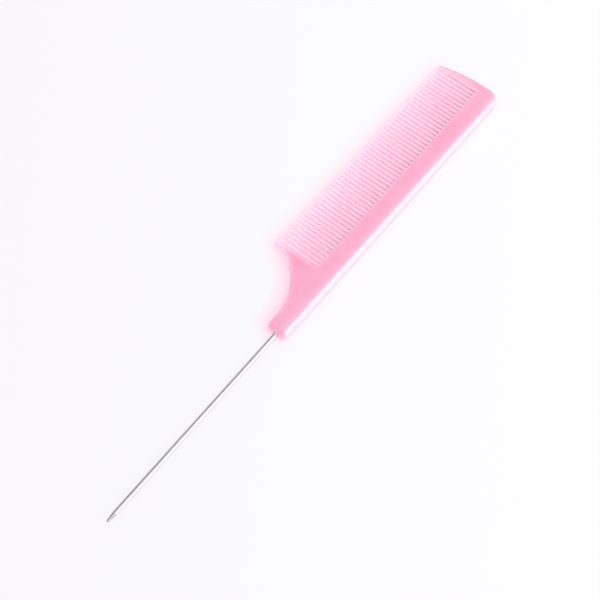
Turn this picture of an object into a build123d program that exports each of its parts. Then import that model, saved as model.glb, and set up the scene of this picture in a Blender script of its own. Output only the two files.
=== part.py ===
from build123d import *
from math import asin, atan2, cos, hypot, radians, sin, sqrt, tan
import os

os.makedirs("parts", exist_ok=True)

# Rat tail comb: a moulded comb head and neck with a steel pin set in the end of the neck.
# The origin is on the pin axis where the pin leaves the neck. +X runs along the back to the
# far end of the head, +Y points to the tooth tips, +Z is up. The comb lies on its lower face.

# Head and neck
head_length = 135.4         # neck end face to far end
head_width = 28.6           # back to tooth tips
back_thickness = 4.4        # at the rounded back
tip_thickness = 2.0         # at the tooth tips
neck_width = 8.4            # at the end face
neck_crown = 0.6            # by which the end face bulges toward the pin
neck_length = 8.2           # end face to the start of the hollow edge
neck_flare = 4.5            # degrees by which that stretch widens toward the head
hollow_radius = 22.5        # hollow edge from the neck up to the horn tip
far_end_radius = 80.0       # slow curve of the far end
far_end_straight = 8.6      # back to the start of that curve
far_corner_radius = 5.5     # far end into the back
neck_corner_radius = 1.2
horn_tip_radius = 1.0
guard_tip_radius = 1.0
rim_radius = 0.95           # rounding of the upper and lower rims
corner_overrun = 0.15       # the corner arcs run out just past the rounded back

# Teeth
slot_count = 55             # leaves 54 fine teeth between the horn and the guard tooth
slot_pitch = 1.848
first_slot_x = 30.8
root_width = 8.8            # back to the bottom of the slots
slot_root_width = 0.84
slot_tip_width = 1.0
tooth_corner = 0.28         # rounding of the tooth tips

# Pin
pin_inset = 3.9             # back of the comb to the pin axis
pin_height = 2.1            # lower face to the pin axis
pin_diameter = 1.8
pin_reach = 93.6            # neck end face to the tip
pin_taper = 4.2
pin_end_diameter = 1.0
shank_diameter = 1.4        # turned down where it is moulded in, with a shoulder at the neck
shank_length = 25.0
groove_count = 4
groove_pitch = 4.0
groove_width = 1.2
groove_depth = 0.2
groove_inset = 3.0          # inner end of the shank to the middle of the first groove

back_y = -pin_inset
tip_y = back_y + head_width
root_y = back_y + root_width
rest_z = -pin_height
margin = 3.0
half_diagonal = sqrt(0.5)   # share of a radius reached halfway round a quarter turn

# Cross-section of the head: a flat lower face, a full-round back, and an upper face that is
# tangent to the back and falls toward the tooth tips.
back_radius = back_thickness / 2
round_y = back_y + back_radius
round_z = rest_z + back_radius
reach = tip_y - round_y
drop = back_radius - tip_thickness
tilt = atan2(drop, reach) + asin(back_radius / hypot(reach, drop))
lower_back = (round_y, rest_z)
lower_front = (tip_y + margin, rest_z)
upper_front = (tip_y + margin, rest_z + tip_thickness - margin * tan(tilt))
upper_back = (round_y + back_radius * sin(tilt), round_z + back_radius * cos(tilt))
section = make_face(
    Curve() + [
        Line(lower_back, lower_front),
        Line(lower_front, upper_front),
        Line(upper_front, upper_back),
        ThreePointArc(upper_back, (back_y, round_z), lower_back),
    ]
)
bar = extrude(Plane.YZ.offset(-margin) * section, amount=head_length + 2 * margin)

# Outline seen from above, with its corners still sharp.
flare = radians(neck_flare)
neck_y = back_y + neck_width
bend_y = neck_y + (neck_length - neck_crown) * tan(flare)
hollow_x = neck_length - hollow_radius * sin(flare)
hollow_y = bend_y + hollow_radius * cos(flare)
horn_x = hollow_x + sqrt(hollow_radius**2 - (hollow_y - tip_y) ** 2)
far_y = back_y + far_end_straight
guard_x = head_length - far_end_radius + sqrt(far_end_radius**2 - (tip_y - far_y) ** 2)
neck_back = (neck_crown, back_y - corner_overrun)
far_back = (head_length, back_y - corner_overrun)
far_side = (head_length, far_y)
guard_tip = (guard_x, tip_y)
horn_tip = (horn_x, tip_y)
neck_bend = (neck_length, bend_y)
neck_front = (neck_crown, neck_y)
outline = make_face(
    Curve() + [
        Line(neck_back, far_back),
        Line(far_back, far_side),
        RadiusArc(far_side, guard_tip, -far_end_radius),
        Line(guard_tip, horn_tip),
        RadiusArc(horn_tip, neck_bend, hollow_radius),
        Line(neck_bend, neck_front),
        ThreePointArc(neck_front, (0, 0), neck_back),
    ]
)
corners = (
    (neck_back, neck_corner_radius),
    (neck_front, neck_corner_radius),
    (far_back, far_corner_radius),
    (guard_tip, guard_tip_radius),
    (horn_tip, horn_tip_radius),
)
for point, radius in corners:
    vertex = outline.vertices().sort_by_distance(point)[0]
    outline = fillet(vertex, radius)
prism = extrude(Plane.XY.offset(rest_z - margin) * outline, amount=back_thickness + 2 * margin)
blank = bar & prism

# The rims are rounded all the way round. The two seams of the rounded back are smooth
# already, and so are the upright edges where one side wall runs into the next.
rim = []
for edge in blank.edges():
    upright = abs((edge % 0.5).Z) > cos(tilt)
    back_seam = edge.length > head_length / 2 and edge.center().Y < 0
    if not upright and not back_seam:
        rim.append(edge)
blank = fillet(rim, rim_radius)

# One slot between two teeth: round at the root, slightly wider at the open end, and flared
# where it rounds the corners of the teeth.
root_half = slot_root_width / 2
tip_half = slot_tip_width / 2
flare_half = tip_half + tooth_corner
arc_y = root_y + root_half
corner_y = tip_y - tooth_corner
swing = tooth_corner * half_diagonal
slot_face = make_face(
    Curve() + [
        ThreePointArc((-root_half, arc_y), (0, root_y), (root_half, arc_y)),
        Line((root_half, arc_y), (tip_half, corner_y)),
        ThreePointArc(
            (tip_half, corner_y),
            (flare_half - swing, corner_y + swing),
            (flare_half, tip_y),
        ),
        Line((flare_half, tip_y), (flare_half, tip_y + margin)),
        Line((flare_half, tip_y + margin), (-flare_half, tip_y + margin)),
        Line((-flare_half, tip_y + margin), (-flare_half, tip_y)),
        ThreePointArc(
            (-flare_half, tip_y),
            (swing - flare_half, corner_y + swing),
            (-tip_half, corner_y),
        ),
        Line((-tip_half, corner_y), (-root_half, arc_y)),
    ]
)
slot = extrude(Plane.XY.offset(rest_z - margin) * slot_face, amount=back_thickness + 2 * margin)
slots = [Pos(first_slot_x + index * slot_pitch, 0, 0) * slot for index in range(slot_count)]
head = blank - slots

# The pin: one straight wire, tapered and blunted at the free end. Its shank inside the neck is
# turned down, which leaves a shoulder against the end face, and has ring grooves that the
# plastic grips.
pin_radius = pin_diameter / 2
shank_radius = shank_diameter / 2
end_radius = pin_end_diameter / 2
end_swing = end_radius * half_diagonal
end_x = end_radius - pin_reach
taper_x = pin_taper - pin_reach
wire = make_face(
    Curve() + [
        Line((shank_length, 0), (shank_length, shank_radius)),
        Line((shank_length, shank_radius), (0, shank_radius)),
        Line((0, shank_radius), (0, pin_radius)),
        Line((0, pin_radius), (taper_x, pin_radius)),
        Line((taper_x, pin_radius), (end_x, end_radius)),
        ThreePointArc((end_x, end_radius), (end_x - end_swing, end_swing), (-pin_reach, 0)),
        Line((-pin_reach, 0), (shank_length, 0)),
    ]
)
tail_pin = revolve(wire, Axis.X)
groove = Cylinder(pin_radius, groove_width) - Cylinder(shank_radius - groove_depth, groove_width)
groove = Rot(0, 90, 0) * groove
for index in range(groove_count):
    tail_pin -= Pos(shank_length - groove_inset - index * groove_pitch, 0, 0) * groove

# The plastic fills the grooves, so its bore is the shank's own shape.
comb_body = head - tail_pin

export_step(comb_body, "parts/comb_body.step")
export_step(tail_pin, "parts/tail_pin.step")
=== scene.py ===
import math

import bpy
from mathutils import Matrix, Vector


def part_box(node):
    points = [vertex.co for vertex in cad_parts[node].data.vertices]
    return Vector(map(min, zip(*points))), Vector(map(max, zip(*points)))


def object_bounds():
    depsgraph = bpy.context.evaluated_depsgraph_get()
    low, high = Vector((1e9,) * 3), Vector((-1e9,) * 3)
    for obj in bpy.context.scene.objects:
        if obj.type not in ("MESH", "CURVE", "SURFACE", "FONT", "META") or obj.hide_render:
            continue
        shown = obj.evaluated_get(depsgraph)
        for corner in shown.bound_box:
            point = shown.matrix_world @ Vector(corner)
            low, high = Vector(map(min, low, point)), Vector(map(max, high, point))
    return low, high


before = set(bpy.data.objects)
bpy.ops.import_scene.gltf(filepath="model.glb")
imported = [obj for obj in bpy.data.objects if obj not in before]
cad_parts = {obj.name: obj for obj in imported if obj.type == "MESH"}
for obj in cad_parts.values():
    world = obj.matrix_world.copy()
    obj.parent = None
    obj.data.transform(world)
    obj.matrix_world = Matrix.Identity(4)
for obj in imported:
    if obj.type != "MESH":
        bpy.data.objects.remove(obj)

# A rat tail comb lying on a pale floor: a glossy, milky pink plastic head on a drawn steel pin.
# Everything is in metres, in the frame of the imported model.

MM = 0.001
CAD_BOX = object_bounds()
COMB_LO, COMB_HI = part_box("comb_body")
FLOOR_Z = CAD_BOX[0].z
ROOT_LINE = COMB_LO.y + 8.8 * MM           # where the slots between the teeth end, in the solid back
FIRST_SLOT = COMB_LO.x + 30.4 * MM         # the horn's inner edge
LAST_SLOT = COMB_HI.x - 4.4 * MM           # the guard's inner edge
HOLLOW_RADIUS = 22.5 * MM                  # the round hollow between neck and horn
HOLLOW_X = COMB_LO.x + 6.43 * MM
HOLLOW_Y = COMB_LO.y + 31.43 * MM


# ---------------------------------------------------------------- camera

CAMERA_AZIMUTH = math.radians(50.585)      # the camera stands on the -X, -Y side of the comb
CAMERA_ELEVATION = math.radians(65.808)
CAMERA_DISTANCE = 0.6154
CAMERA_LENS = 97.61                        # millimetres, like the sensor
CAMERA_SENSOR = 36.0
AIM_ALONG = 0.48494                        # the point aimed at, as a share of the length from the pin's tip
AIM_ACROSS = 0.22440                       # and as a share of the width from the back


def make_camera():
    """A long lens looking steeply down at the comb, which lies across the picture's diagonal."""
    lo, hi = CAD_BOX
    aim = Vector((
        lo.x + AIM_ALONG * (hi.x - lo.x),
        lo.y + AIM_ACROSS * (hi.y - lo.y),
        FLOOR_Z,
    ))
    towards_camera = Vector((
        -math.sin(CAMERA_AZIMUTH) * math.cos(CAMERA_ELEVATION),
        -math.cos(CAMERA_AZIMUTH) * math.cos(CAMERA_ELEVATION),
        math.sin(CAMERA_ELEVATION),
    ))
    data = bpy.data.cameras.new("camera")
    data.lens = CAMERA_LENS
    data.sensor_width = CAMERA_SENSOR
    data.clip_start = 0.01
    data.clip_end = 50.0
    camera = bpy.data.objects.new("camera", data)
    camera.location = aim + CAMERA_DISTANCE * towards_camera
    camera.rotation_euler = (math.pi / 2 - CAMERA_ELEVATION, 0.0, -CAMERA_AZIMUTH)
    bpy.context.scene.collection.objects.link(camera)
    bpy.context.scene.camera = camera


# ---------------------------------------------------------------- node helpers


def linear(red, green, blue):
    """A display colour given in 0..255 steps, as linear light with full alpha."""
    def channel(step):
        share = step / 255.0
        return share / 12.92 if share <= 0.04045 else ((share + 0.055) / 1.055) ** 2.4
    return (channel(red), channel(green), channel(blue), 1.0)


class Tree:
    """The node tree of a material or a world, with short calls for the nodes used here."""

    def __init__(self, owner):
        owner.use_nodes = True
        self.nodes = owner.node_tree.nodes
        self.links = owner.node_tree.links
        self.nodes.clear()

    def output(self, kind, name):
        """The named output of a new node of the given kind."""
        return self.nodes.new(kind).outputs[name]

    def feed(self, value, socket):
        """Links an output to a socket, or sets the socket to a plain value."""
        if isinstance(value, bpy.types.NodeSocket):
            self.links.new(value, socket)
        else:
            socket.default_value = value

    def math(self, operation, a, b=0.0):
        """One arithmetic step."""
        node = self.nodes.new("ShaderNodeMath")
        node.operation = operation
        self.feed(a, node.inputs[0])
        self.feed(b, node.inputs[1])
        return node.outputs[0]

    def part(self, vector, letter):
        """The X, Y or Z of a vector."""
        node = self.nodes.new("ShaderNodeSeparateXYZ")
        self.links.new(vector, node.inputs[0])
        return node.outputs[letter]

    def span(self, value, low, high, to_low=0.0, to_high=1.0, smooth=True):
        """Maps low..high to to_low..to_high, held flat outside."""
        node = self.nodes.new("ShaderNodeMapRange")
        node.interpolation_type = "SMOOTHSTEP" if smooth else "LINEAR"
        self.feed(value, node.inputs["Value"])
        node.inputs["From Min"].default_value = low
        node.inputs["From Max"].default_value = high
        node.inputs["To Min"].default_value = to_low
        node.inputs["To Max"].default_value = to_high
        return node.outputs["Result"]

    def ramp(self, value, stops):
        """A colour ramp through two or more stops, each a place and a linear colour."""
        node = self.nodes.new("ShaderNodeValToRGB")
        self.feed(value, node.inputs["Fac"])
        elements = node.color_ramp.elements
        for place, colour in stops[2:]:
            elements.new(place)
        for element, (place, colour) in zip(elements, stops):
            element.position = place
            element.color = colour
        return node.outputs["Color"]

    def mix(self, share, a, b, kind="RGBA"):
        """From a at share 0 to b at share 1: colours, or numbers for the kind FLOAT."""
        node = self.nodes.new("ShaderNodeMix")
        node.data_type = kind
        self.feed(share, node.inputs["Factor"])
        self.feed(a, node.inputs["A"])
        self.feed(b, node.inputs["B"])
        return node.outputs["Result"]


class MaterialTree(Tree):
    """A new material with one Principled shader."""

    def __init__(self, name):
        self.material = bpy.data.materials.new(name)
        super().__init__(self.material)
        self.shader = self.nodes.new("ShaderNodeBsdfPrincipled")
        output = self.nodes.new("ShaderNodeOutputMaterial")
        self.links.new(self.shader.outputs["BSDF"], output.inputs["Surface"])
        self.place = self.output("ShaderNodeTexCoord", "Object")

    def set(self, **values):
        """Sets the Principled shader's inputs; a name's underscores stand for spaces."""
        for name, value in values.items():
            self.feed(value, self.shader.inputs[name.replace("_", " ")])

    def axis(self, letter):
        """One coordinate of the shaded point, in metres."""
        return self.part(self.place, letter)

    def noise(self, size, detail=2.0, roughness=0.5, stretch=(1.0, 1.0, 1.0), seed=0.0):
        """Noise whose grain is about size across; stretch makes it longer along an axis."""
        mapping = self.nodes.new("ShaderNodeMapping")
        self.links.new(self.place, mapping.inputs["Vector"])
        mapping.inputs["Location"].default_value = (seed, 0.37 * seed, 0.61 * seed)
        mapping.inputs["Scale"].default_value = [1.0 / s for s in stretch]
        node = self.nodes.new("ShaderNodeTexNoise")
        self.links.new(mapping.outputs["Vector"], node.inputs["Vector"])
        node.inputs["Scale"].default_value = 1.0 / size
        node.inputs["Detail"].default_value = detail
        node.inputs["Roughness"].default_value = roughness
        return node.outputs["Fac"]

    def bump(self, height, depth, strength=1.0, normal=None):
        """Bump of the given depth in metres for a height from 0 to 1."""
        node = self.nodes.new("ShaderNodeBump")
        node.inputs["Strength"].default_value = strength
        node.inputs["Distance"].default_value = depth
        self.feed(height, node.inputs["Height"])
        if normal is not None:
            self.links.new(normal, node.inputs["Normal"])
        return node.outputs["Normal"]


# ---------------------------------------------------------------- materials


# The plastic's own pink with painted light: paler at the back's edge for the key light shining through the
# rounded back, deepest in the thick back, and paler towards the thin horn and guard for light shining
# through thin plastic.
SOLID_COLOURS_AND_PAINTED_LIGHT = (                          # across the comb, from the back's edge to the tooth tips, with painted light
    (0.00, linear(250, 204, 225)),
    (0.05, linear(254, 188, 215)),
    (0.14, linear(254, 175, 206)),
    (0.60, linear(254, 164, 195)),
    (0.80, linear(254, 188, 214)),
    (1.00, linear(254, 208, 227)),
)
# The teeth's pink, painted paler towards the tips for the light shining through the thin plastic.
TEETH_COLOURS_AND_PAINTED_LIGHT = (
    (0.30, linear(255, 197, 221)),
    (0.60, linear(255, 203, 225)),
    (1.00, linear(255, 218, 234)),
)
# Painted highlight along the rounded thin edge of the hollow, up the horn.
HORN_EDGE_PAINTED_HIGHLIGHT = linear(255, 222, 236)
# Painted shade: the wide guard tooth is greyer, as the thick plastic lets less light through.
GUARD_PAINTED_SHADE = linear(228, 214, 226)
GUARD_SHADE_AMOUNT = 0.45
# Painted light: the walls of the slots, in shade between the teeth, are made pale.
SLOT_WALL_PAINTED_LIGHT = linear(255, 218, 233)
# Painted shade on the neck's end face, which turns away from the softboxes.
NECK_END_PAINTED_SHADE = linear(242, 172, 198)
# Painted shade on the far end's rounded edge, which turns away from the camera and the light.
FAR_RIM_PAINTED_SHADE = linear(208, 172, 190)
MILK_COLOUR = linear(255, 215, 230)
MILK_TINT = 0.08


def toothed_share(t):
    """1 on the teeth and 0 on the solid back, neck, horn and guard, with short soft edges between."""
    along = t.axis("X")
    above_roots = t.span(t.axis("Y"), ROOT_LINE - 1.3 * MM, ROOT_LINE + 0.9 * MM)
    past_horn = t.span(along, FIRST_SLOT - 0.7 * MM, FIRST_SLOT)
    before_guard = t.span(along, LAST_SLOT + 0.2 * MM, LAST_SLOT + 2.0 * MM, 1.0, 0.0)
    return t.math("MULTIPLY", above_roots, t.math("MULTIPLY", past_horn, before_guard))


def horn_edge_highlight_share(t):
    """How much painted highlight, as paler plastic, lies along the hollow's thin edge: most up the horn,
    none at the neck.
    """
    away_x = t.math("SUBTRACT", t.axis("X"), HOLLOW_X)
    away_y = t.math("SUBTRACT", t.axis("Y"), HOLLOW_Y)
    squares = t.math("ADD", t.math("POWER", away_x, 2.0), t.math("POWER", away_y, 2.0))
    from_edge = t.math("SUBTRACT", t.math("SQRT", squares), HOLLOW_RADIUS)
    near_edge = t.span(from_edge, 0.4 * MM, 2.2 * MM, 1.0, 0.0)
    up_the_horn = t.span(t.axis("Y"), COMB_LO.y + 12 * MM, COMB_LO.y + 21 * MM, 0.32, 0.70)
    past_neck = t.span(away_x, -6 * MM, 1 * MM)
    return t.math("MULTIPLY", past_neck, t.math("MULTIPLY", near_edge, up_the_horn))


def guard_shade_share(t):
    """Painted shade, most on the guard tooth, fading out towards the back."""
    past_slots = t.span(t.axis("X"), LAST_SLOT, LAST_SLOT + 1.0 * MM)
    up_the_guard = t.span(t.axis("Y"), COMB_LO.y + 8 * MM, COMB_LO.y + 15 * MM)
    return t.math("MULTIPLY", t.math("MULTIPLY", past_slots, up_the_guard), GUARD_SHADE_AMOUNT)


def slot_wall_light_share(t, facing_along):
    """1 on the walls of the slots, which get painted light, and on the far end, where the far rim's painted
    shade covers it.
    """
    past_horn = t.span(t.axis("X"), FIRST_SLOT - 0.4 * MM, FIRST_SLOT - 0.15 * MM)
    return t.math("MULTIPLY", past_horn, t.span(t.math("ABSOLUTE", facing_along), 0.3, 0.8))


def far_rim_shade_share(t, facing_along):
    """1 on the rounded edge of the far end, which gets a greyer painted shade."""
    at_far_end = t.span(t.axis("X"), COMB_HI.x - 5.0 * MM, COMB_HI.x - 3.4 * MM)
    return t.math("MULTIPLY", at_far_end, t.span(facing_along, 0.0, 0.3))


def plastic_colour_and_painted_light(t, across, toothed):
    """Deep pink in the thick back, painted paler where the plastic is thin for the light shining through
    it, with painted highlights and shades on the edges and faint milky clouds.
    """
    facing_along = t.part(t.output("ShaderNodeNewGeometry", "Normal"), "X")
    # Painted shade on the neck's end face.
    neck_end_shade_share = t.span(t.axis("X"), COMB_LO.x + 1.0 * MM, COMB_LO.x + 2.5 * MM, 1.0, 0.0)
    cloud = t.noise(9 * MM, detail=3.0, stretch=(2.5, 1.0, 1.0), seed=3.1)
    colour = t.mix(toothed, t.ramp(across, SOLID_COLOURS_AND_PAINTED_LIGHT), t.ramp(across, TEETH_COLOURS_AND_PAINTED_LIGHT))
    for share, tint in (
        (horn_edge_highlight_share(t), HORN_EDGE_PAINTED_HIGHLIGHT),
        (guard_shade_share(t), GUARD_PAINTED_SHADE),
        (slot_wall_light_share(t, facing_along), SLOT_WALL_PAINTED_LIGHT),
        (neck_end_shade_share, NECK_END_PAINTED_SHADE),
        (far_rim_shade_share(t, facing_along), FAR_RIM_PAINTED_SHADE),
        (t.span(cloud, 0.35, 0.7, 0.0, MILK_TINT), MILK_COLOUR),
    ):
        colour = t.mix(share, colour, tint)
    return colour


def plastic_finish(t, across, toothed):
    """The roughness and normal of a moulded gloss with flow waves and, off the teeth, fine scuffs."""
    scuff = t.noise(0.9 * MM, detail=3.0, roughness=0.6, stretch=(9.0, 1.0, 1.0), seed=1.7)
    scuff = t.math("MULTIPLY", scuff, t.span(toothed, 0.0, 0.6, 1.0, 0.0))
    scuff = t.math("MULTIPLY", scuff, t.span(across, 0.04, 0.10, 0.6, 1.0))
    smear = t.noise(6 * MM, detail=2.0, seed=8.3)
    rough = t.math("ADD", t.span(smear, 0.3, 0.7, 0.16, 0.24), t.span(scuff, 0.55, 0.75, 0.0, 0.06))
    flow = t.noise(5 * MM, detail=2.0, stretch=(3.0, 1.0, 1.0), seed=5.9)
    normal = t.bump(flow, 0.10 * MM, 0.22)
    return rough, t.bump(scuff, 0.004 * MM, 0.1, normal)


def off_neck_end(t, dull, glossy):
    """The dull level at the neck's end and the glossy one everywhere else."""
    return t.span(t.axis("X"), COMB_LO.x + 1.5 * MM, COMB_LO.x + 3.5 * MM, dull, glossy)


def pink_plastic():
    """Milky pink injection-moulded plastic, glossy except at the neck's end."""
    t = MaterialTree("pink_plastic")
    across = t.span(t.axis("Y"), COMB_LO.y, COMB_HI.y, smooth=False)
    toothed = toothed_share(t)
    rough, normal = plastic_finish(t, across, toothed)
    t.set(
        Base_Color=plastic_colour_and_painted_light(t, across, toothed),
        Roughness=rough,
        Normal=normal,
        IOR=1.5,
        Subsurface_Weight=1.0,
        Subsurface_Radius=(0.8, 0.55, 0.65),
        Subsurface_Scale=2.5 * MM,
        Specular_IOR_Level=off_neck_end(t, 0.1, 0.5),
        Coat_Weight=off_neck_end(t, 0.1, 1.0),
        Coat_Roughness=0.09,
        Coat_IOR=1.6,
    )
    return t.material


BRIGHT_STEEL = (0.66, 0.61, 0.645, 1.0)
HANDLED_STEEL = (0.58, 0.535, 0.57, 1.0)


def steel_wire():
    """Drawn and polished steel wire: fine lines along its length and faint dulling from handling."""
    t = MaterialTree("steel_wire")
    drawn = t.noise(0.06 * MM, detail=3.0, roughness=0.6, stretch=(60.0, 1.0, 1.0), seed=2.2)
    handled = t.noise(7 * MM, detail=2.0, seed=6.4)
    t.set(
        Base_Color=t.mix(t.span(handled, 0.35, 0.7, 0.0, 0.5), BRIGHT_STEEL, HANDLED_STEEL),
        Metallic=1.0,
        Roughness=t.math("ADD", t.span(drawn, 0.3, 0.7, 0.14, 0.22), t.span(handled, 0.4, 0.7, 0.0, 0.06)),
        Normal=t.bump(drawn, 0.004 * MM, 0.6),
    )
    return t.material


FLOOR_GLOW = 0.855                         # the sweep shines a little, so it stays white under the comb
FLOOR_GLOW_MIRRORED = 0.82                 # as the glossy faces mirror it
FLOOR_GLOW_UNDER = 1.35                    # as it lights the plastic from below
PAPER_COLOUR = (0.12, 0.115, 0.12, 1.0)    # dark, because the sweep's own glow does the rest
GLOW_LEFT_COLOUR = (0.951, 0.938, 0.980, 1.0)    # painted light: the sheet brightens a little across the picture
GLOW_RIGHT_COLOUR = (0.994, 0.998, 1.009, 1.0)
GLOW_LEFT = -0.10                          # metres to the picture's right of the origin
GLOW_RIGHT = 0.12
PINK_GLOW_COLOUR = (1.10, 0.64, 0.79, 1.0)    # light that has passed through the plastic
PINK_GLOW_REACH = 7 * MM
PINK_GLOW_LEAN = Vector((0.25, -0.62, 0.74)).normalized()    # so that most is on the tooth side
CONTACT_COLOUR = (0.62, 0.55, 0.60, 1.0)    # a thin shadow under the rounded back
CONTACT_REACH = 2 * MM
CONTACT_DEPTH = 0.75


def openness(t, reach, samples):
    """An ambient occlusion node: 1 where nothing stands within reach."""
    node = t.nodes.new("ShaderNodeAmbientOcclusion")
    node.inputs["Distance"].default_value = reach
    node.samples = samples
    return node


def sheet_glow(t):
    """The open sheet's painted glow, brightening along the picture's left-to-right direction."""
    rightwards = t.math(
        "SUBTRACT",
        t.math("MULTIPLY", t.axis("X"), math.cos(CAMERA_AZIMUTH)),
        t.math("MULTIPLY", t.axis("Y"), math.sin(CAMERA_AZIMUTH)),
    )
    share = t.span(rightwards, GLOW_LEFT, GLOW_RIGHT, smooth=False)
    return t.mix(share, GLOW_LEFT_COLOUR, GLOW_RIGHT_COLOUR)


def pink_glow_share(t):
    """How much of the paper's glow has come through the plastic; none beside the bare pin."""
    lean = t.nodes.new("ShaderNodeCombineXYZ")
    for letter, value in zip("XYZ", PINK_GLOW_LEAN):
        lean.inputs[letter].default_value = value
    shelter = openness(t, PINK_GLOW_REACH, samples=16)
    t.links.new(lean.outputs["Vector"], shelter.inputs["Normal"])
    near_comb = t.span(shelter.outputs["AO"], 0.25, 1.0, 1.0, 0.0, smooth=False)
    beside_plastic = t.span(t.axis("X"), COMB_LO.x - 6 * MM, COMB_LO.x + 1.5 * MM)
    return t.math("MULTIPLY", near_comb, beside_plastic)


def contact_share(t):
    """How dark the paper is close under the back's rounded edge."""
    under_back = t.span(t.axis("Y"), COMB_LO.y + 0.8 * MM, COMB_LO.y + 1.6 * MM, 1.0, 0.0)
    shelter = openness(t, CONTACT_REACH, samples=8)
    return t.math("MULTIPLY", under_back, t.span(shelter.outputs["AO"], 0.1, 0.8, CONTACT_DEPTH, 0.0))


def paper_floor():
    """A matt white sweep of paper, almost flat, with a faint fibre."""
    t = MaterialTree("paper_floor")
    fibre = t.noise(1.2 * MM, detail=3.0, seed=4.5)
    rays = t.nodes.new("ShaderNodeLightPath")
    lighting = rays.outputs["Is Diffuse Ray"]
    level = t.span(rays.outputs["Is Glossy Ray"], 0.0, 1.0, FLOOR_GLOW, FLOOR_GLOW_MIRRORED, smooth=False)
    extra = t.math("MULTIPLY", lighting, FLOOR_GLOW_UNDER - FLOOR_GLOW)
    pink = t.math("MULTIPLY", pink_glow_share(t), t.math("SUBTRACT", 1.0, lighting))
    glow = t.mix(pink, sheet_glow(t), PINK_GLOW_COLOUR)
    t.set(
        Base_Color=PAPER_COLOUR,
        Emission_Color=t.mix(contact_share(t), glow, CONTACT_COLOUR),
        Emission_Strength=t.math("ADD", level, extra),
        Roughness=0.8,
        Specular_IOR_Level=0.2,
        Normal=t.bump(fibre, 0.01 * MM, 0.2),
    )
    return t.material


# ---------------------------------------------------------------- the comb


def dress(name, material):
    """Gives a CAD node its own material in every slot."""
    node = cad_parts[name]
    for slot in node.material_slots:
        slot.material = material


# ---------------------------------------------------------------- the stage


FLOOR_REACH = 3.0


def make_floor():
    """A flat square of paper under the comb, reaching equally far on all sides."""
    lo, hi = -FLOOR_REACH, FLOOR_REACH
    mesh = bpy.data.meshes.new("floor")
    corners = [(lo, lo, FLOOR_Z), (hi, lo, FLOOR_Z), (hi, hi, FLOOR_Z), (lo, hi, FLOOR_Z)]
    mesh.from_pydata(corners, [], [(0, 1, 2, 3)])
    mesh.materials.append(paper_floor())
    floor = bpy.data.objects.new("floor", mesh)
    bpy.context.scene.collection.objects.link(floor)


SOFTBOX_AIM = Vector((0.02, 0.01, 0.0))    # about the comb's middle
SOFTBOX_TOWARDS = Vector((0.265, -0.875, 0.414)).normalized()    # low down on the back's side
SOFTBOX_DISTANCE = 1.0
SOFTBOX_SIZE = (0.75, 1.2)
KEY_POWER = 5.0
GLEAM_POWER = 10.4                         # it is only mirrored, as the white line along the rounded back


def make_softbox(name, power):
    """A rectangular soft light aimed at the comb's middle."""
    data = bpy.data.lights.new(name, "AREA")
    data.shape = "RECTANGLE"
    data.size, data.size_y = SOFTBOX_SIZE
    data.energy = power
    light = bpy.data.objects.new(name, data)
    light.location = SOFTBOX_AIM + SOFTBOX_DISTANCE * SOFTBOX_TOWARDS
    light.rotation_euler = SOFTBOX_TOWARDS.to_track_quat("Z", "Y").to_euler()
    bpy.context.scene.collection.objects.link(light)
    return light


BACKDROP_COLOUR = (0.975, 0.965, 0.995, 1.0)    # what the camera sees past the floor's far edge
DOME_LEVEL = 1.15                          # as the dome lights the matt surfaces
MIRRORED_LEVEL = 1.05                      # as the glossy faces mirror it
MIRRORED_DIM_LEVEL = 0.12                  # and as they mirror its dim side
DIM_SIDE = Vector((-0.35, 0.90, -0.15)).normalized()    # the side that the teeth point to
DIM_STARTS = 0.35                          # cosines of the angle from that direction
DIM_ENDS = 0.7
MIRRORED_BY_HEIGHT = ((0.0, 0.72), (0.27, 0.45), (0.5, 1.0))    # dimmest a little above the horizon


def make_world():
    """A pale dome around the stage, which is not as bright on all sides where it is mirrored."""
    world = bpy.data.worlds.new("studio")
    t = Tree(world)
    rays = t.nodes.new("ShaderNodeLightPath")
    direction = t.output("ShaderNodeTexCoord", "Generated")
    closeness = t.nodes.new("ShaderNodeVectorMath")
    closeness.operation = "DOT_PRODUCT"
    t.links.new(direction, closeness.inputs[0])
    closeness.inputs[1].default_value = DIM_SIDE
    by_side = t.span(closeness.outputs["Value"], DIM_STARTS, DIM_ENDS, MIRRORED_LEVEL, MIRRORED_DIM_LEVEL)
    greys = [(height, (level, level, level, 1.0)) for height, level in MIRRORED_BY_HEIGHT]
    by_height = t.ramp(t.part(direction, "Z"), greys)
    mirrored = t.math("MULTIPLY", by_side, by_height)
    dome = t.nodes.new("ShaderNodeBackground")
    t.feed(t.mix(rays.outputs["Is Glossy Ray"], DOME_LEVEL, mirrored, "FLOAT"), dome.inputs["Strength"])
    backdrop = t.nodes.new("ShaderNodeBackground")
    backdrop.inputs["Color"].default_value = BACKDROP_COLOUR
    pick = t.nodes.new("ShaderNodeMixShader")
    t.links.new(rays.outputs["Is Camera Ray"], pick.inputs["Fac"])
    t.links.new(dome.outputs["Background"], pick.inputs[1])
    t.links.new(backdrop.outputs["Background"], pick.inputs[2])
    output = t.nodes.new("ShaderNodeOutputWorld")
    t.links.new(pick.outputs["Shader"], output.inputs["Surface"])
    bpy.context.scene.world = world


def make_studio():
    """The dome, the two softboxes in one place and the floor, with the render's light settings."""
    make_world()
    make_softbox("key_softbox", KEY_POWER)
    gleam = make_softbox("gleam_softbox", GLEAM_POWER)
    gleam.visible_diffuse = False
    make_floor()
    scene = bpy.context.scene
    scene.view_settings.view_transform = "Standard"
    scene.cycles.max_bounces = 24
    scene.cycles.diffuse_bounces = 16
    scene.cycles.filter_width = 2.0
    scene.cycles.use_adaptive_sampling = False


make_camera()
make_studio()
dress("comb_body", pink_plastic())
dress("tail_pin", steel_wire())
